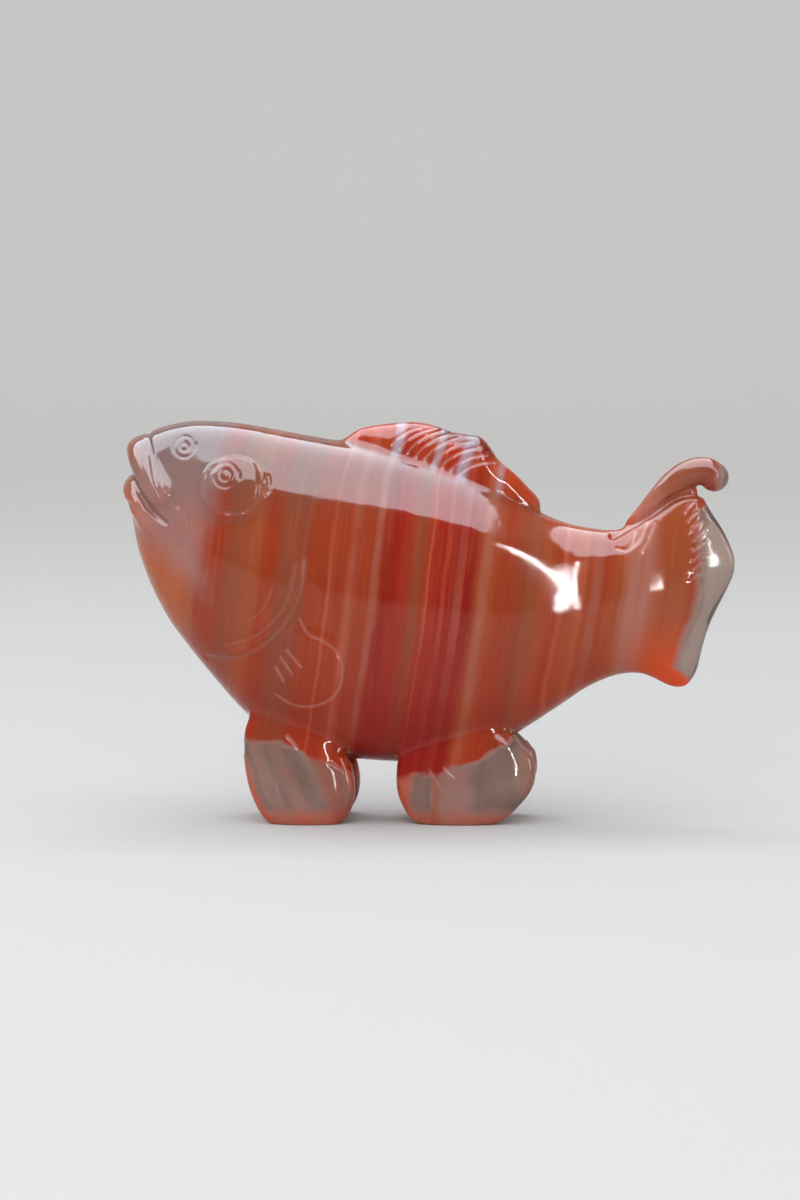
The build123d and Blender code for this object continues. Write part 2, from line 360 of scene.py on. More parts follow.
# A lamp is a flat sheet from start to end, in metres. Its power is the name of a setting, which
# counts for each square metre where the lamp is hidden from matt surfaces and only shines in the
# polish. The sheet is turned to the fish unless its light comes from a given side.
Lamp = namedtuple(
    "Lamp", "name start end width power side hidden tint", defaults=(None, (), (1.0, 1.0, 1.0))
)
ABOVE = (0, 0, 1)
ABOVE_IN_FRONT = (0, -1, 1)
DAYLIGHT = (0.79, 0.90, 1.0)
NOT_MATT = ("diffuse", "transmission")
NOT_GLOSSY = ("glossy",)
LAMPS = [
    Lamp(
        "softbox",
        (-0.15, -0.50, 0.46),
        (-0.15, 0.30, 0.46),
        0.7,
        "softbox_power",
        ABOVE,
        NOT_GLOSSY,
    ),
    Lamp(
        "shine",
        (0.095, -0.532, 0.45),
        (-0.084, 0.320, 0.45),
        0.512,
        "shine_power",
        ABOVE,
        NOT_MATT,
        DAYLIGHT,
    ),
    Lamp(
        "shine_left",
        (-0.386, -0.189, 0.45),
        (-0.4755, 0.237, 0.45),
        0.288,
        "shine_power",
        ABOVE,
        NOT_MATT,
        DAYLIGHT,
    ),
    Lamp(
        "front",
        (-0.08, -0.60, 0.12),
        (-0.08, -0.60, 0.46),
        0.5,
        "front_power",
        hidden=NOT_GLOSSY,
    ),
    Lamp(
        "backdrop",
        (0.0, 0.48, 0.86),
        (0.0, 0.72, 1.10),
        2.4,
        "backdrop_power",
        ABOVE_IN_FRONT,
        NOT_GLOSSY,
    ),
    Lamp(
        "side_strip",
        (0.1285, -0.1875, 0.152),
        (0.131, -0.1875, 0.012),
        0.0065,
        "side_power",
        hidden=("diffuse",),
    ),
    Lamp("rim_strip", (0.50, -0.14, 0.05), (0.50, -0.14, 0.27), 0.06, "rim_power"),
]


class FishSizes(bpy.types.PropertyGroup):
    """Sizes of the carver's tools."""

    skin_grain: bpy.props.FloatProperty(
        name="Skin Grain",
        description="Size of the smallest step in the stone's skin before it is polished",
        default=0.14 * MM,
        subtype="DISTANCE",
    )
    polish: bpy.props.IntProperty(
        name="Polish",
        description="How many times the polisher goes over the stone",
        default=10,
        min=1,
    )
    line_width: bpy.props.FloatProperty(
        name="Line Width",
        description="Half width of an engraved line",
        default=0.4 * MM,
        subtype="DISTANCE",
    )
    line_depth: bpy.props.FloatProperty(
        name="Line Depth",
        description="Depth of an engraved line",
        default=0.2 * MM,
        subtype="DISTANCE",
    )
    mouth_depth: bpy.props.FloatProperty(
        name="Mouth Depth",
        description="Depth of the slit between the lips",
        default=0.3 * MM,
        subtype="DISTANCE",
    )
    dorsal_rays: bpy.props.IntProperty(
        name="Dorsal Rays",
        description="Number of rays engraved in the back fin",
        default=9,
        min=2,
    )
    tail_notches: bpy.props.IntProperty(
        name="Tail Notches",
        description="Number of notches along the tail's clear rim",
        default=8,
        min=2,
    )
    ray_width: bpy.props.FloatProperty(
        name="Ray Width",
        description="Half width of a fin ray's groove",
        default=0.21 * MM,
        subtype="DISTANCE",
    )
    ray_depth: bpy.props.FloatProperty(
        name="Ray Depth",
        description="Depth of a fin ray's groove",
        default=0.12 * MM,
        subtype="DISTANCE",
    )


def stone_colour(label, words, red, green, blue):
    """A colour that a user can change, given as it looks on a screen, from 0 to 255."""
    linear = [((v / 255 + 0.055) / 1.055) ** 2.4 for v in (red, green, blue)]
    return bpy.props.FloatVectorProperty(
        name=label, description=words, default=(*linear, 1), subtype="COLOR", size=4, min=0, max=1
    )


class FishColours(bpy.types.PropertyGroup):
    """Colours of the agate."""

    deep_red: stone_colour("Deep Red", "Darkest bands in the belly", 138, 16, 4)
    red: stone_colour("Red", "Bands beside the darkest ones", 156, 33, 10)
    rust: stone_colour("Rust", "Main colour of the flank", 152, 54, 20)
    brown: stone_colour("Brown", "Dull bands between the red ones", 138, 67, 40)
    # Orange is the stone's own colour in the back fin and the tail, and painted glow along the
    # feet's edges and soles and low in the tail
    orange: stone_colour("Orange", "Glowing edges of tail and feet", 200, 72, 16)
    tan: stone_colour("Tan", "Pale brown bands", 158, 76, 38)
    peach: stone_colour("Peach", "The chin below the milky head", 177, 91, 47)
    # Mauve is also mixed into the back as a painted tint of the overhead sheen
    mauve: stone_colour("Mauve", "Milky patch on the head", 158, 115, 111)
    milk: stone_colour("Milk", "Milky stripes across flank and tail", 166, 106, 90)
    smoke: stone_colour("Smoke", "Clear parts of fins and tail", 192, 170, 160)
    blush: stone_colour("Blush", "Thin pale red lines across the flank", 198, 104, 76)
    fin_blue: stone_colour("Fin Blue", "Thin bands in the back fin", 172, 170, 190)
    frost: stone_colour("Frost", "Floor of the engraved lines", 226, 176, 160)


class FishStage(bpy.types.PropertyGroup):
    """Camera and lamps."""

    camera_azimuth: bpy.props.FloatProperty(
        name="Camera Azimuth",
        description="How far the camera stands towards the tail",
        default=math.radians(3),
        subtype="ANGLE",
    )
    camera_elevation: bpy.props.FloatProperty(
        name="Camera Elevation",
        description="How far the camera looks down",
        default=math.radians(4.5),
        subtype="ANGLE",
    )
    camera_distance: bpy.props.FloatProperty(
        name="Camera Distance",
        description="From the lens to the fish",
        default=450 * MM,
        subtype="DISTANCE",
    )
    picture_height: bpy.props.FloatProperty(
        name="Picture Height",
        description="Height that the picture covers at the fish",
        default=117.9 * MM,
        subtype="DISTANCE",
    )
    softbox_power: bpy.props.FloatProperty(
        name="Softbox Power",
        description="Power of the large lamp overhead, which doesn't shine in the polish",
        default=2.8,
        unit="POWER",
    )
    shine_power: bpy.props.FloatProperty(
        name="Shine Power",
        description="Power per square metre of the sheets overhead that shine in the polish",
        default=26.1,
        unit="POWER",
    )
    front_power: bpy.props.FloatProperty(
        name="Front Power",
        description="Power of the fill lamp in front, which doesn't shine in the polish",
        default=2.2,
        unit="POWER",
    )
    backdrop_power: bpy.props.FloatProperty(
        name="Backdrop Power",
        description="Power of the lamp that lights the paper behind the fish",
        default=12.5,
        unit="POWER",
    )
    side_power: bpy.props.FloatProperty(
        name="Side Strip Power",
        description="Power per square metre of the strip that shines in the rear flank's polish",
        default=149.0,
        unit="POWER",
    )
    rim_power: bpy.props.FloatProperty(
        name="Rim Power",
        description="Power of the small lamp far to the right, which draws the clear edges",
        default=0.4,
        unit="POWER",
    )


def feed(tree, socket, value):
    """Link a result to a socket, or set the socket to a constant."""
    if isinstance(value, bpy.types.NodeSocket):
        tree.links.new(value, socket)
    else:
        socket.default_value = value


def in_use(sockets, name):
    """The socket that a node uses, where it holds several of one name."""
    return next(s for s in sockets if s.name == name and s.enabled)


def add(tree, kind, inputs=None, **settings):
    """A node with its settings, its constant inputs and its links."""
    node = tree.nodes.new(kind)
    for name, value in settings.items():
        setattr(node, name, value)
    for name, value in (inputs or {}).items():
        feed(tree, node.inputs[name], value)
    return node


def maths(tree, operation, first, second=0.0, third=0.0):
    """The result of one sum."""
    node = add(tree, "ShaderNodeMath", {0: first, 1: second, 2: third}, operation=operation)
    return node.outputs[0]


def product(tree, first, *others):
    """Several numbers multiplied."""
    for other in others:
        first = maths(tree, "MULTIPLY", first, other)
    return first


def vector_maths(tree, operation, first, second=(0.0, 0.0, 0.0)):
    """The result of one sum on vectors."""
    node = add(tree, "ShaderNodeVectorMath", {0: first, 1: second}, operation=operation)
    return node.outputs[0]


def smooth_range(tree, value, low, high, to_low=0.0, to_high=1.0):
    """A value that goes softly from one level to another between two places."""
    node = add(
        tree,
        "ShaderNodeMapRange",
        {"Value": value, "From Min": low, "From Max": high, "To Min": to_low, "To Max": to_high},
        interpolation_type="SMOOTHSTEP",
    )
    return node.outputs["Result"]


def slope(tree, value, name, top=1.0):
    """A soft mask from its row in SLOPES, up to a top level."""
    return smooth_range(tree, value, *SLOPES[name], to_high=top)


def mixed(tree, share, first, second, blend="MIX", strength=1.0):
    """Two colours blended by a share of a strength."""
    if strength != 1.0:
        share = maths(tree, "MULTIPLY", share, strength)
    node = add(tree, "ShaderNodeMix", data_type="RGBA", blend_type=blend)
    for name, value in (("Factor", share), ("A", first), ("B", second)):
        feed(tree, in_use(node.inputs, name), value)
    return in_use(node.outputs, "Result")


def drawn_lines(name, routes):
    """Smooth lines in the fish's middle plane."""
    curve = bpy.data.curves.new(name, "CURVE")
    curve.dimensions = "3D"
    for route in routes:
        line = curve.splines.new("BEZIER")
        line.bezier_points.add(len(route) - 1)
        line.use_cyclic_u = route[0] == route[-1]
        for point, (x, z) in zip(line.bezier_points, route):
            point.co = (x * MM, 0, z * MM)
            point.handle_left_type = "AUTO"
            point.handle_right_type = "AUTO"
    lines = bpy.data.objects.new(name, curve)
    bpy.context.scene.collection.objects.link(lines)
    return lines


def tree_with(name, wanted):
    """A new geometry tree, its group inputs and the sockets of its interface by name."""
    tree = bpy.data.node_groups.new(name, "GeometryNodeTree")
    tree.is_modifier = True
    tree.interface.new_socket("Stone", in_out="INPUT", socket_type="NodeSocketGeometry")
    tree.interface.new_socket("Stone", in_out="OUTPUT", socket_type="NodeSocketGeometry")
    for label, kind in wanted.items():
        tree.interface.new_socket(label, in_out="INPUT", socket_type=kind)
    return tree, tree.nodes.new("NodeGroupInput").outputs


def finished_tree(tree, given, shape):
    """Close a tree: its shape as a plain mesh, with the stone's material."""
    real = add(tree, "GeometryNodeRealizeInstances", {0: shape})
    coloured = add(
        tree, "GeometryNodeSetMaterial", {0: real.outputs[0], "Material": given["Material"]}
    )
    tree.links.new(coloured.outputs[0], tree.nodes.new("NodeGroupOutput").inputs[0])
    return tree


def engrave(tree, given, lines):
    """Finish a tree: press a soft, frosted groove into the stone where a line passes over it."""
    place = tree.nodes.new("GeometryNodeInputPosition").outputs[0]
    flat = vector_maths(tree, "MULTIPLY", place, (1, 0, 1))
    nearest = add(
        tree,
        "GeometryNodeProximity",
        {0: lines, "Sample Position": flat},
        target_element="EDGES",
    )
    near = nearest.outputs["Distance"]
    depth = smooth_range(tree, near, 0.0, given["Width"], given["Depth"], 0.0)
    core = maths(tree, "MULTIPLY", given["Width"], FROST_SHARE)
    frost = smooth_range(tree, near, 0.0, core, given["Frost"], 0.0)
    before = add(tree, "GeometryNodeInputNamedAttribute", {"Name": "frost"}, data_type="FLOAT")
    frosted = add(
        tree,
        "GeometryNodeStoreNamedAttribute",
        {
            "Geometry": given["Stone"],
            "Name": "frost",
            "Value": maths(tree, "MAXIMUM", frost, before.outputs["Attribute"]),
        },
        data_type="FLOAT",
        domain="POINT",
    )
    normal = tree.nodes.new("GeometryNodeInputNormal").outputs[0]
    inward = add(tree, "ShaderNodeVectorMath", {0: normal, "Scale": depth}, operation="SCALE")
    backwards = vector_maths(tree, "MULTIPLY", inward.outputs[0], (-1, -1, -1))
    pressed = add(tree, "GeometryNodeSetPosition", {0: frosted.outputs[0], "Offset": backwards})
    return finished_tree(tree, given, pressed.outputs[0])


def line_tree():
    """A tree that engraves drawn lines."""
    tree, given = tree_with(
        "engraved_lines",
        {
            "Lines": "NodeSocketObject",
            "Width": "NodeSocketFloat",
            "Depth": "NodeSocketFloat",
            "Frost": "NodeSocketFloat",
            "Material": "NodeSocketMaterial",
        },
    )
    drawn = add(tree, "GeometryNodeObjectInfo", {"Object": given["Lines"]})
    wires = add(tree, "GeometryNodeCurveToMesh", {0: drawn.outputs["Geometry"]})
    return engrave(tree, given, wires.outputs[0])


def ray_tree():
    """A tree that engraves a fan of bent rays, spread evenly from a root line to a tip line."""
    tree, given = tree_with(
        "engraved_rays",
        {
            "Roots": "NodeSocketObject",
            "Tips": "NodeSocketObject",
            "Count": "NodeSocketInt",
            "Bend": "NodeSocketFloat",
            "Width": "NodeSocketFloat",
            "Depth": "NodeSocketFloat",
            "Frost": "NodeSocketFloat",
            "Material": "NodeSocketMaterial",
        },
    )
    roots = add(tree, "GeometryNodeObjectInfo", {"Object": given["Roots"]})
    tips = add(tree, "GeometryNodeObjectInfo", {"Object": given["Tips"]})
    starts = add(
        tree,
        "GeometryNodeResampleCurve",
        {0: roots.outputs["Geometry"], "Count": given["Count"]},
        mode="COUNT",
    )
    index = tree.nodes.new("GeometryNodeInputIndex").outputs[0]
    last = maths(tree, "SUBTRACT", given["Count"], 1.0)
    along = maths(tree, "DIVIDE", index, last)
    ends = add(
        tree,
        "GeometryNodeSampleCurve",
        {0: tips.outputs["Geometry"], "Factor": along},
        mode="FACTOR",
        use_all_curves=True,
    )
    start = tree.nodes.new("GeometryNodeInputPosition").outputs[0]
    reach = vector_maths(tree, "SUBTRACT", ends.outputs["Position"], start)
    length = add(tree, "ShaderNodeVectorMath", {0: reach}, operation="LENGTH").outputs["Value"]
    turn = add(tree, "FunctionNodeAlignRotationToVector", {"Vector": reach}, axis="X")
    middle = add(tree, "ShaderNodeCombineXYZ", {"X": 0.5, "Z": given["Bend"]})
    ray = add(
        tree,
        "GeometryNodeCurveQuadraticBezier",
        {"Start": (0, 0, 0), "Middle": middle.outputs[0], "End": (1, 0, 0)},
    )
    fan = add(
        tree,
        "GeometryNodeInstanceOnPoints",
        {
            0: starts.outputs[0],
            "Instance": ray.outputs[0],
            "Rotation": turn.outputs[0],
            "Scale": length,
        },
    )
    real = add(tree, "GeometryNodeRealizeInstances", {0: fan.outputs[0]})
    wires = add(tree, "GeometryNodeCurveToMesh", {0: real.outputs[0]})
    return engrave(tree, given, wires.outputs[0])


def soften_tree():
    """A tree that rubs carved edges down inside a soft-edged box, seen from the side."""
    tree, given = tree_with(
        "softened",
        {
            "X Low": "NodeSocketFloat",
            "X High": "NodeSocketFloat",
            "Z Low": "NodeSocketFloat",
            "Z High": "NodeSocketFloat",
            "Margin": "NodeSocketFloat",
            "Times": "NodeSocketInt",
            "Material": "NodeSocketMaterial",
        },
    )
    place = tree.nodes.new("GeometryNodeInputPosition").outputs[0]
    axes = add(tree, "ShaderNodeSeparateXYZ", {0: place})
    weight = 1.0
    for axis in ("X", "Z"):
        low, high = given[axis + " Low"], given[axis + " High"]
        inner_low = maths(tree, "ADD", low, given["Margin"])
        inner_high = maths(tree, "SUBTRACT", high, given["Margin"])
        rising = smooth_range(tree, axes.outputs[axis], low, inner_low)
        falling = smooth_range(tree, axes.outputs[axis], inner_high, high, to_low=1.0, to_high=0.0)
        weight = product(tree, rising, falling, weight)
    blurred = add(tree, "GeometryNodeBlurAttribute", data_type="FLOAT_VECTOR")
    for name, value in (("Value", place), ("Iterations", given["Times"]), ("Weight", weight)):
        feed(tree, in_use(blurred.inputs, name), value)
    soft_place = in_use(blurred.outputs, "Value")
    rubbed = add(tree, "GeometryNodeSetPosition", {0: given["Stone"], "Position": soft_place})
    return finished_tree(tree, given, rubbed.outputs[0])


def with_tree(piece, tree, **values):
    """Put a geometry tree on a piece and set its inputs, where x_low sets X Low."""
    modifier = piece.modifiers.new(tree.name, "NODES")
    modifier.node_group = tree
    for item in tree.interface.items_tree:
        word = item.name.lower().replace(" ", "_")
        if item.in_out == "INPUT" and word in values:
            modifier[item.identifier] = values[word]


def melted(name, nodes, grain, polish):
    """One closed skin round several solids, polished smooth, with live modifiers."""
    mesh = bpy.data.meshes.new(name)
    corners = []
    faces = []
    for node in nodes:
        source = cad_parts[node].data
        first = len(corners)
        corners += [v.co.copy() for v in source.vertices]
        faces += [[first + i for i in face.vertices] for face in source.polygons]
    mesh.from_pydata(corners, [], faces)
    piece = bpy.data.objects.new(name, mesh)
    bpy.context.scene.collection.objects.link(piece)
    weld = piece.modifiers.new("weld", "WELD")
    weld.merge_threshold = WELD_GAP * MM
    skin = piece.modifiers.new("skin", "REMESH")
    skin.mode = "VOXEL"
    skin.voxel_size = grain
    skin.use_smooth_shade = True
    rub = piece.modifiers.new("polish", "SMOOTH")
    rub.factor = 0.5
    rub.iterations = polish
    return piece


def settle(piece, most_triangles):
    """Turn a piece's modifiers into a plain mesh, with no more triangles than asked."""
    shown = piece.evaluated_get(bpy.context.evaluated_depsgraph_get())
    triangles = sum(len(face.vertices) - 2 for face in shown.data.polygons)
    if triangles > most_triangles:
        thin = piece.modifiers.new("thin", "DECIMATE")
        thin.ratio = most_triangles / triangles
    shown = piece.evaluated_get(bpy.context.evaluated_depsgraph_get())
    mesh = bpy.data.meshes.new_from_object(shown)
    mesh.name = piece.name
    piece.modifiers.clear()
    piece.data = mesh
    for face in mesh.polygons:
        face.use_smooth = True


def sweep_away(drawings):
    """Remove drawn lines that have done their work."""
    for drawing in drawings:
        bpy.data.curves.remove(drawing.data)


def rub_down(stone, material):
    """Soften the carved edges where the real ones are rubbed."""
    tree = soften_tree()
    for x_low, x_high, z_low, z_high, times in SOFT_PLACES:
        with_tree(
            stone,
            tree,
            x_low=x_low * MM,
            x_high=x_high * MM,
            z_low=z_low * MM,
            z_high=z_high * MM,
            margin=SOFT_MARGIN * MM,
            times=times,
            material=material,
        )


def engrave_lines(stone, sizes, material):
    """Engrave every set of lines, and give back the drawings."""
    tree = line_tree()
    drawings = []
    for name, routes, width_share, depth_name, depth_share, frost in ENGRAVINGS:
        drawing = drawn_lines(name, routes)
        drawings.append(drawing)
        with_tree(
            stone,
            tree,
            lines=drawing,
            width=width_share * sizes.line_width,
            depth=depth_share * getattr(sizes, depth_name),
            frost=frost,
            material=material,
        )
    return drawings


def engrave_rays(stone, sizes, material):
    """Engrave every fan of rays, and give back the drawings."""
    tree = ray_tree()
    drawings = []
    for name, roots, tips, count_name, bend in RAY_FANS:
        root_line = drawn_lines(name + "_roots", roots)
        tip_line = drawn_lines(name + "_tips", tips)
        drawings += [root_line, tip_line]
        with_tree(
            stone,
            tree,
            roots=root_line,
            tips=tip_line,
            count=getattr(sizes, count_name),
            bend=bend,
            width=sizes.ray_width,
            depth=sizes.ray_depth,
            frost=RAY_FROST,
            material=material,
        )
    return drawings


def shader_tree(name):
    """A new material with its tree, its stone shader and the place on the stone in millimetres."""
    material = bpy.data.materials.new(name)
    material.use_nodes = True
    tree = material.node_tree
    shader = next(n for n in tree.nodes if n.type == "BSDF_PRINCIPLED")
    here = tree.nodes.new("ShaderNodeTexCoord").outputs["Object"]
    in_mm = vector_maths(tree, "MULTIPLY", here, (1 / MM, 1 / MM, 1 / MM))
    return material, tree, shader, in_mm


def noise(tree, place, scale, detail=2.0, rough=0.5):
    """Cloudy variation, from 0 to 1, with a scale per millimetre."""
    node = add(
        tree,
        "ShaderNodeTexNoise",
        {"Vector": place, "Scale": scale, "Detail": detail, "Roughness": rough},
    )
    return node.outputs["Fac"]


def swing(tree, place, scale, height, detail=2.0):
    """Cloudy variation to both sides of 0, with its whole height in millimetres."""
    return maths(tree, "MULTIPLY_ADD", noise(tree, place, scale, detail), height, -height / 2)


def ramp(tree, value, table, start, end):
    """A colour ramp over a range of places, from a table of (place, colour)."""
    node = tree.nodes.new("ShaderNodeValToRGB")
    share = maths(tree, "DIVIDE", maths(tree, "SUBTRACT", value, start), end - start)
    tree.links.new(share, node.inputs[0])
    stops = node.color_ramp.elements
    while len(stops) < len(table):
        stops.new(1.0)
    for stop, (place, colour) in zip(stops, table):
        stop.position = (place - start) / (end - start)
    for stop, (place, colour) in zip(stops, table):
        stop.color = colour
    return node.outputs[0]


def bands(tree, place, colours, table):
    """The colour of a band, from a table of places in millimetres and colour names."""
    stops = [(spot, getattr(colours, name)) for spot, name in table]
    return ramp(tree, place, stops, table[0][0], table[-1][0])


def profile(tree, value, table):
    """A number in millimetres read from a table of (place, number)."""
    stops = [(place, (*[number / PROFILE_TOP] * 3, 1)) for place, number in table]
    grey = ramp(tree, value, stops, table[0][0], table[-1][0])
    return maths(tree, "MULTIPLY", grey, PROFILE_TOP)


def soft_line(tree, place, middle, half_width, strength):
    """How strong a soft-edged line is at a place across it."""
    off = maths(tree, "ABSOLUTE", maths(tree, "SUBTRACT", place, middle))
    return smooth_range(tree, off, LINE_CORE * half_width, half_width, strength, 0.0)


def thin_lines(tree, place, table):
    """The strongest of several thin lines that cross a point."""
    total = 0.0
    for row in table:
        total = maths(tree, "MAXIMUM", soft_line(tree, place, *row), total)
    return total


def band_place(tree, in_mm, x, z):
    """Where a point lies across the bands, which lean and wander a little."""
    rise = maths(tree, "SUBTRACT", z, BAND_HEIGHT)
    lean = maths(tree, "MULTIPLY_ADD", rise, BAND_BEND, BAND_LEAN)
    upright = maths(tree, "SUBTRACT", x, product(tree, rise, lean))
    shifted = maths(tree, "SUBTRACT", upright, slope(tree, z, "crest", CREST_SHIFT))
    wander = swing(tree, in_mm, scale=0.07, height=1.2)
    ripple = swing(tree, in_mm, scale=0.55, height=0.16)
    return maths(tree, "ADD", maths(tree, "ADD", shifted, wander), ripple)


def banded(tree, in_mm, z, place, colours):
    """The broad bands, with fine threads and thin pale and red lines along them."""
    colour = bands(tree, place, colours, BROAD_BANDS)
    along = product(tree, z, THREAD_SHARE)
    grain = add(tree, "ShaderNodeCombineXYZ", {"X": place, "Y": along}).outputs[0]
    coarse = noise(tree, grain, scale=1.1, detail=3.0, rough=0.6)
    threads = smooth_range(tree, coarse, 0.4, 0.75)
    fine = noise(tree, grain, scale=2.4, detail=3.0)
    bright = smooth_range(tree, fine, 0.5, 0.75)
    dark = smooth_range(tree, fine, 0.48, 0.25)
    colour = mixed(tree, threads, colour, colours.tan, strength=0.25)
    colour = mixed(tree, bright, colour, colours.blush, strength=0.15)
    colour = mixed(tree, dark, colour, colours.deep_red, strength=0.25)
    fading = smooth_range(tree, noise(tree, in_mm, scale=0.16), 0.25, 0.6, to_low=0.35)
    for table, tint in ((PALE_LINES, colours.milk), (BLUSH_LINES, colours.blush)):
        lines = product(tree, thin_lines(tree, place, table), fading)
        colour = mixed(tree, lines, colour, tint)
    return colour


def with_red_belly(tree, z, place, colours, colour):
    """Deep red between the feet, and a warmer shade low down."""
    low = slope(tree, z, "belly")
    off_middle = maths(tree, "ABSOLUTE", maths(tree, "SUBTRACT", place, BELLY_MIDDLE))
    deep = product(tree, low, slope(tree, off_middle, "belly_middle"))
    colour = mixed(tree, deep, colour, colours.deep_red, strength=0.6)
    return mixed(tree, low, colour, BELLY_SHADE, "MULTIPLY", strength=0.8)


def with_milky_head(tree, in_mm, x, z, place, colours, colour):
    """Milky stone above the mouth, cloudy towards the flank, with painted shade that darkens the
    brow under the overhead lamp.
    """
    cloud = maths(tree, "MULTIPLY_ADD", noise(tree, in_mm, scale=0.25), HEAD_CLOUD, place)
    head = slope(tree, cloud, "head")
    crown = slope(tree, maths(tree, "MULTIPLY_ADD", x, CROWN_SLANT, z), "crown")
    snout = smooth_range(tree, x, *SLOPES["snout"], to_low=0.25, to_high=0.85)
    milky = product(tree, head, crown, snout)
    colour = mixed(tree, milky, colour, colours.mauve)
    # Painted shade: the brow is darkened to tone down the overhead lamp's light on the top of the
    # head
    brow = product(tree, milky, slope(tree, z, "brow"))
    return mixed(tree, brow, colour, BROW_PAINTED_SHADE, "MULTIPLY", strength=0.6)


def back_fin(tree, x, z):
    """Where the back fin is, and how clear it is where it thins out behind."""
    height = maths(tree, "MULTIPLY_ADD", x, FIN_SLANT, z)
    length = product(tree, slope(tree, x, "fin_start"), slope(tree, x, "fin_end"))
    fin = product(tree, slope(tree, height, "fin_root"), length)
    clear = product(tree, slope(tree, height, "fin_top", 0.7), fin, slope(tree, x, "fin_rear"))
    return fin, clear


def with_painted_back_shade_and_fin(tree, z, place, fin, colours, colour):
    """Painted shade and sheen on the back, which is made paler and less red to tone down the
    overhead lamp's light and tint its reflection, under an orange fin with pale blue bands.
    """
    # Painted shade and sheen: the back is tinted mauve and made less red under the overhead lamp;
    # the fin's orange and blue bands are the stone's own
    back = product(tree, slope(tree, z, "back"), maths(tree, "SUBTRACT", 1.0, fin))
    colour = mixed(tree, back, colour, colours.mauve, strength=0.15)
    colour = mixed(tree, back, colour, BACK_PAINTED_SHADE, "MULTIPLY")
    colour = mixed(tree, fin, colour, colours.orange, strength=0.2)
    blue = product(tree, thin_lines(tree, place, FIN_LINES), fin)
    return mixed(tree, blue, colour, colours.fin_blue)


def with_orange_tail(tree, x, z, colours, colour):
    """A deeper orange behind the belly, and orange low in the tail: the stone's own orange with a
    painted glow of light through the thin lobe.
    """
    off_middle = maths(tree, "ABSOLUTE", maths(tree, "SUBTRACT", x, REAR_MIDDLE))
    rear = product(tree, slope(tree, off_middle, "rear"), slope(tree, z, "rear_low"))
    colour = mixed(tree, rear, colour, REAR_SHADE, "MULTIPLY", strength=0.6)
    # Painted glow: full orange low in the tail, over the stone's own orange, stands in for light
    # through the thin lobe
    tail = product(tree, slope(tree, x, "tail"), slope(tree, z, "tail_low"))
    return mixed(tree, tail, colour, colours.orange)


def streaked_feet(tree, in_mm, x, z, haze, colours):
    """Where the feet are, their colour and how clear they are."""
    slant = product(tree, maths(tree, "SUBTRACT", z, STREAK_HEIGHT), STREAK_SLANT)
    leaning = maths(tree, "MULTIPLY_ADD", slant, slope(tree, x, "front_feet"), x)
    across = maths(tree, "ADD", leaning, haze)
    ragged = maths(tree, "ADD", z, swing(tree, in_mm, scale=0.6, height=1.6, detail=3.0))
    foot = slope(tree, maths(tree, "SUBTRACT", profile(tree, x, FOOT_LINE), ragged), "foot")
    # Painted glow: the feet turn orange and less clear towards their soles, standing in for light
    # through their thin lower edges
    sole_glow = slope(tree, maths(tree, "ADD", z, haze), "sole_glow", 0.75)
    colour = mixed(tree, sole_glow, colours.smoke, colours.orange)
    clear = product(tree, foot, maths(tree, "MULTIPLY_ADD", sole_glow, -CLOUDING, 1.0))
    for middle, half_width, strength, name in FOOT_STREAKS:
        streak = soft_line(tree, across, middle, half_width, strength)
        colour = mixed(tree, streak, colour, getattr(colours, name))
        clear = product(tree, clear, maths(tree, "MULTIPLY_ADD", streak, -CLOUDING, 1.0))
    return foot, colour, clear


def fish_agate(colours):
    """Red agate with leaning bands, a milky head, clear feet and a clear rim on the tail."""
    material, tree, shader, in_mm = shader_tree("fish_agate")
    axes = add(tree, "ShaderNodeSeparateXYZ", {0: in_mm})
    x, z = axes.outputs["X"], axes.outputs["Z"]
    place = band_place(tree, in_mm, x, z)
    haze = swing(tree, in_mm, scale=0.5, height=0.8)
    fin, clear_fin = back_fin(tree, x, z)
    foot, foot_colour, clear_foot = streaked_feet(tree, in_mm, x, z, haze, colours)
    hazy = maths(tree, "ADD", x, haze)
    beyond = maths(tree, "SUBTRACT", hazy, profile(tree, z, CLEAR_LINE))
    clear_tail = slope(tree, beyond, "clear_tail")

    colour = banded(tree, in_mm, z, place, colours)
    colour = with_red_belly(tree, z, place, colours, colour)
    colour = with_milky_head(tree, in_mm, x, z, place, colours, colour)
    colour = with_painted_back_shade_and_fin(tree, z, place, fin, colours, colour)
    colour = with_orange_tail(tree, x, z, colours, colour)
    colour = mixed(tree, foot, colour, foot_colour)
    colour = mixed(tree, clear_tail, colour, colours.smoke)
    etched = add(tree, "ShaderNodeAttribute", attribute_name="frost").outputs["Fac"]
    colour = mixed(tree, etched, colour, colours.frost)
    tree.links.new(colour, shader.inputs["Base Color"])

    clearest = maths(tree, "MAXIMUM", maths(tree, "MAXIMUM", clear_tail, clear_foot), clear_fin)
    see_through = product(tree, clearest, CLEARNESS)
    tree.links.new(see_through, shader.inputs["Transmission Weight"])
    polished(tree, shader, in_mm)
    return material


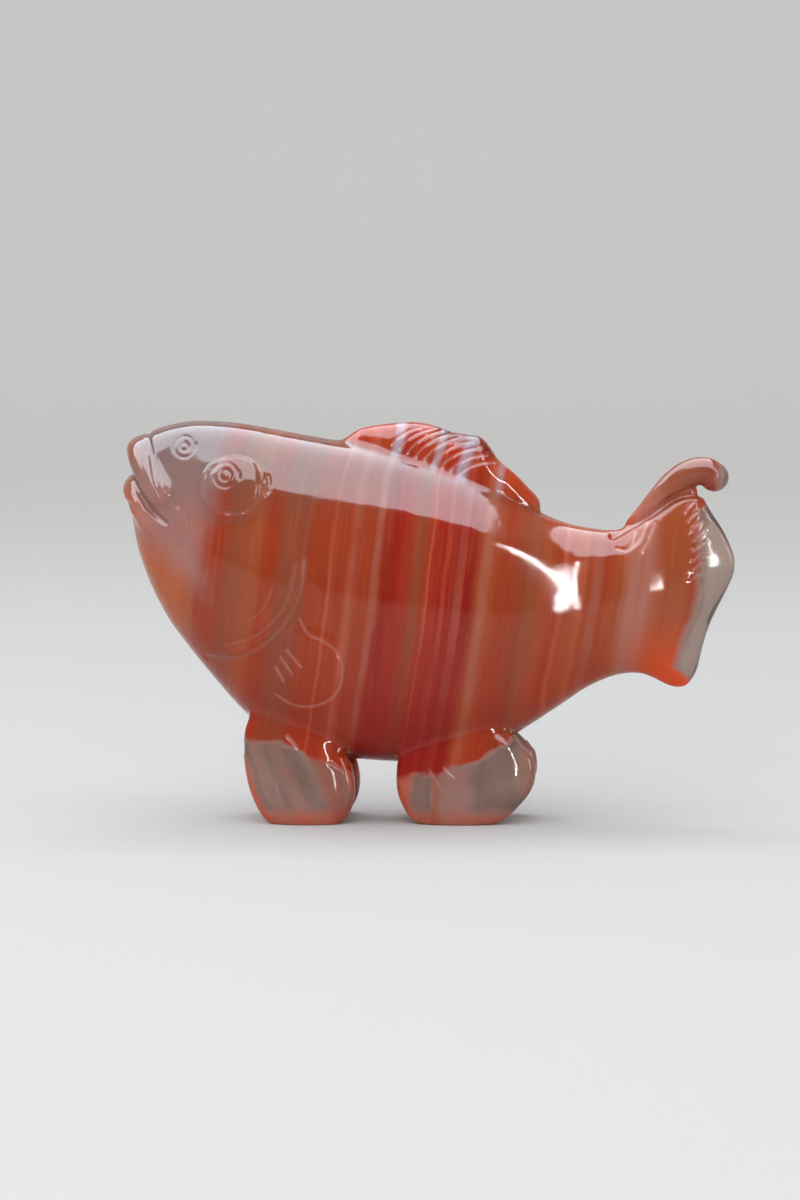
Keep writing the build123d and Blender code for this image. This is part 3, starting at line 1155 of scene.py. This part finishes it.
def polished(tree, shader, in_mm):
    """The gloss of tumbled stone: sharp, with the faint waves that a polishing wheel leaves."""
    shader.inputs["IOR"].default_value = 1.42
    shader.inputs["Subsurface Weight"].default_value = 0.8
    shader.inputs["Subsurface Radius"].default_value = (1.0, 0.3, 0.15)
    shader.inputs["Subsurface Scale"].default_value = 5.0 * MM
    smear = noise(tree, in_mm, scale=0.35, detail=3.0)
    gloss = smooth_range(tree, smear, 0.35, 0.75, to_low=0.05, to_high=0.1)
    tree.links.new(gloss, shader.inputs["Roughness"])
    wheel = noise(tree, in_mm, scale=0.45, detail=1.0)
    waves = add(
        tree, "ShaderNodeBump", {"Height": wheel, "Strength": 0.5, "Distance": 0.02 * MM}
    )
    tree.links.new(waves.outputs[0], shader.inputs["Normal"])


def plain_paint(name, colour):
    """Matt paper for the floor and backdrop."""
    material = bpy.data.materials.new(name)
    material.use_nodes = True
    shader = next(n for n in material.node_tree.nodes if n.type == "BSDF_PRINCIPLED")
    shader.inputs["Base Color"].default_value = colour
    shader.inputs["Roughness"].default_value = 0.9
    return material


class FISH_OT_carve_stone(bpy.types.Operator):
    """Carve the fish from one stone: melt its solids together, engrave the lines and polish it"""

    bl_idname = "fish.carve_stone"
    bl_label = "Carve Stone"

    def execute(self, context):
        sizes = context.scene.fish_sizes
        material = fish_agate(context.scene.fish_colours)
        stone = melted("stone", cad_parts, sizes.skin_grain, sizes.polish)
        rub_down(stone, material)
        drawings = engrave_lines(stone, sizes, material)
        drawings += engrave_rays(stone, sizes, material)
        settle(stone, MOST_TRIANGLES)
        sweep_away(drawings)
        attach(stone, "root")
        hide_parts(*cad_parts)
        return {"FINISHED"}


def paper_sweep():
    """A sheet of paper that runs level under the fish and bends up behind it."""
    edge = [(PAPER_FRONT, 0.0)]
    steps = 24
    for step in range(steps + 1):
        turn = math.radians(90 * step / steps)
        edge.append(
            (PAPER_BACK + PAPER_BEND * math.sin(turn), PAPER_BEND * (1 - math.cos(turn)))
        )
    edge.append((PAPER_BACK + PAPER_BEND, PAPER_TOP))
    corners = [(side * PAPER_WIDTH / 2, y, z) for side in (-1, 1) for y, z in edge]
    count = len(edge)
    faces = [(i, i + 1, count + i + 1, count + i) for i in range(count - 1)]
    mesh = bpy.data.meshes.new("paper_sweep")
    mesh.from_pydata(corners, [], faces)
    for face in mesh.polygons:
        face.use_smooth = True
    mesh.materials.append(plain_paint("pale_paper", PAPER_COLOUR))
    paper = bpy.data.objects.new("paper_sweep", mesh)
    bpy.context.scene.collection.objects.link(paper)
    return paper


def aim_camera(look, target):
    """Set up the camera, a little towards the tail and looking a little down at its target."""
    away = Vector(
        (
            math.sin(look.camera_azimuth) * math.cos(look.camera_elevation),
            -math.cos(look.camera_azimuth) * math.cos(look.camera_elevation),
            math.sin(look.camera_elevation),
        )
    )
    lens = bpy.data.cameras.new("camera")
    lens.lens = lens.sensor_width * look.camera_distance / look.picture_height
    lens.clip_start = 10 * MM
    camera = bpy.data.objects.new("camera", lens)
    camera.location = target + away * look.camera_distance
    camera.rotation_euler = (-away).to_track_quat("-Z", "Y").to_euler()
    bpy.context.scene.collection.objects.link(camera)
    bpy.context.scene.camera = camera


def hang(lamp, power, target):
    """Hang one of the lamps."""
    start, end = Vector(lamp.start), Vector(lamp.end)
    middle = (start + end) / 2
    along = (end - start).normalized()
    facing = Vector(lamp.side) if lamp.side else middle - target
    facing = (facing - facing.dot(along) * along).normalized()
    light = bpy.data.lights.new(lamp.name, "AREA")
    light.shape = "RECTANGLE"
    light.size = lamp.width
    light.size_y = (end - start).length
    polish_only = "diffuse" in lamp.hidden
    light.energy = power * light.size * light.size_y if polish_only else power
    light.color = lamp.tint
    sheet = bpy.data.objects.new(lamp.name, light)
    for surface in lamp.hidden:
        setattr(sheet, "visible_" + surface, False)
    turn = Matrix((along.cross(facing), along, facing)).transposed().to_4x4()
    sheet.matrix_world = Matrix.Translation(middle) @ turn
    bpy.context.scene.collection.objects.link(sheet)


def light_room():
    """Fill the room with even white light."""
    world = bpy.data.worlds.new("room")
    world.use_nodes = True
    background = world.node_tree.nodes["Background"]
    background.inputs["Color"].default_value = (1.0, 1.0, 1.0, 1)
    background.inputs["Strength"].default_value = ROOM_LIGHT
    bpy.context.scene.world = world


class FISH_OT_build_stage(bpy.types.Operator):
    """Lay the floor, hang the lamps and set the camera"""

    bl_idname = "fish.build_stage"
    bl_label = "Build Stage"

    def execute(self, context):
        look = context.scene.fish_stage
        target = Vector(PICTURE_MIDDLE) * MM
        sweep = paper_sweep()
        aim_camera(look, target)
        for lamp in LAMPS:
            hang(lamp, getattr(look, lamp.power), target)
        light_room()
        context.scene.view_settings.view_transform = "Standard"
        return {"FINISHED"}


OPERATORS = (
    FISH_OT_carve_stone,
    FISH_OT_build_stage,
)


class FISH_PT_workshop(bpy.types.Panel):
    """The steps of making the fish, in order"""

    bl_idname = "FISH_PT_workshop"
    bl_label = "Agate Fish"
    bl_space_type = "VIEW_3D"
    bl_region_type = "UI"
    bl_category = "Agate Fish"

    def draw(self, context):
        for group in ("fish_sizes", "fish_colours", "fish_stage"):
            settings = getattr(context.scene, group)
            box = self.layout.box()
            for name in settings.__annotations__:
                box.prop(settings, name)
        for operator in OPERATORS:
            self.layout.operator(operator.bl_idname)


CLASSES = (FishSizes, FishColours, FishStage, *OPERATORS, FISH_PT_workshop)


def register():
    """Make the settings, the steps and the panel known to Blender."""
    for cls in CLASSES:
        bpy.utils.register_class(cls)
    bpy.types.Scene.fish_sizes = bpy.props.PointerProperty(type=FishSizes)
    bpy.types.Scene.fish_colours = bpy.props.PointerProperty(type=FishColours)
    bpy.types.Scene.fish_stage = bpy.props.PointerProperty(type=FishStage)


def unregister():
    """Take them away again."""
    del bpy.types.Scene.fish_stage
    del bpy.types.Scene.fish_colours
    del bpy.types.Scene.fish_sizes
    for cls in reversed(CLASSES):
        bpy.utils.unregister_class(cls)


def main():
    """Make the whole scene."""
    register()
    for operator in OPERATORS:
        family, name = operator.bl_idname.split(".")
        getattr(getattr(bpy.ops, family), name)()


if __name__ == "__main__":
    main()
